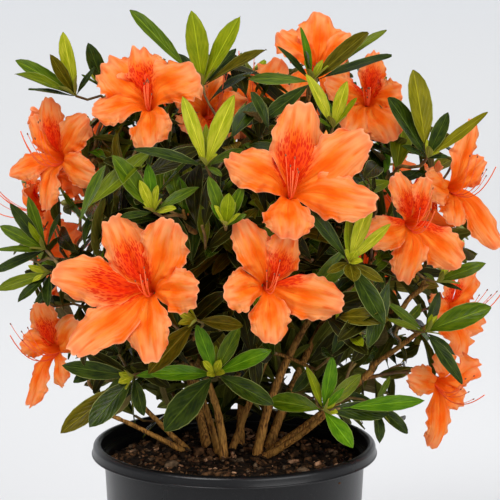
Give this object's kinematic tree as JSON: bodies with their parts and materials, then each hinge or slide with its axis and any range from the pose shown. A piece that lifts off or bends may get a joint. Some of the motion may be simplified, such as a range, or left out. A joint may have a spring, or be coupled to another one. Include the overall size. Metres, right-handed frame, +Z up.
{
  "type": "flowering azalea shrub in a nursery pot",
  "caption": "Rounded evergreen shrub of many stems in a round plastic nursery pot, for patios and garden borders.",
  "frame": {"origin": "centre of the pot's flat underside", "axes": "+Z up along the pot's axis, -Y towards the side from which the shrub is usually seen, +X to that viewer's right"},
  "size_m": [0.31, 0.2863, 0.4197],
  "materials": {
    "pot_plastic": "satin moulded",
    "potting_mix": "rough damp bark pieces",
    "bark": "rough",
    "foliage": "leafy",
    "blossom": "soft petals"
  },
  "bodies": {
    "root": {"pot": "pot_plastic", "soil": "potting_mix", "foliage_top_left": "foliage", "foliage_top": "foliage", "foliage_top_right": "foliage", "foliage_left": "foliage", "foliage_low_left": "foliage", "foliage_front_left": "foliage", "foliage_front": "foliage", "foliage_front_right": "foliage", "foliage_right": "foliage", "foliage_low_right": "foliage", "foliage_low_front": "foliage", "foliage_low_shoot": "foliage", "foliage_heart": "foliage", "foliage_back": "foliage", "foliage_back_left": "foliage", "foliage_back_right": "foliage", "foliage_low_back": "foliage", "stem_front": "bark", "stem_tall": "bark", "stem_centre_left": "bark", "stem_centre": "bark", "stem_low_front": "bark", "stem_low_left": "bark", "stem_low_right": "bark", "stem_right": "bark", "stem_back_left": "bark", "stem_back": "bark", "stem_back_right": "bark"}
  },
  "joints": []
}
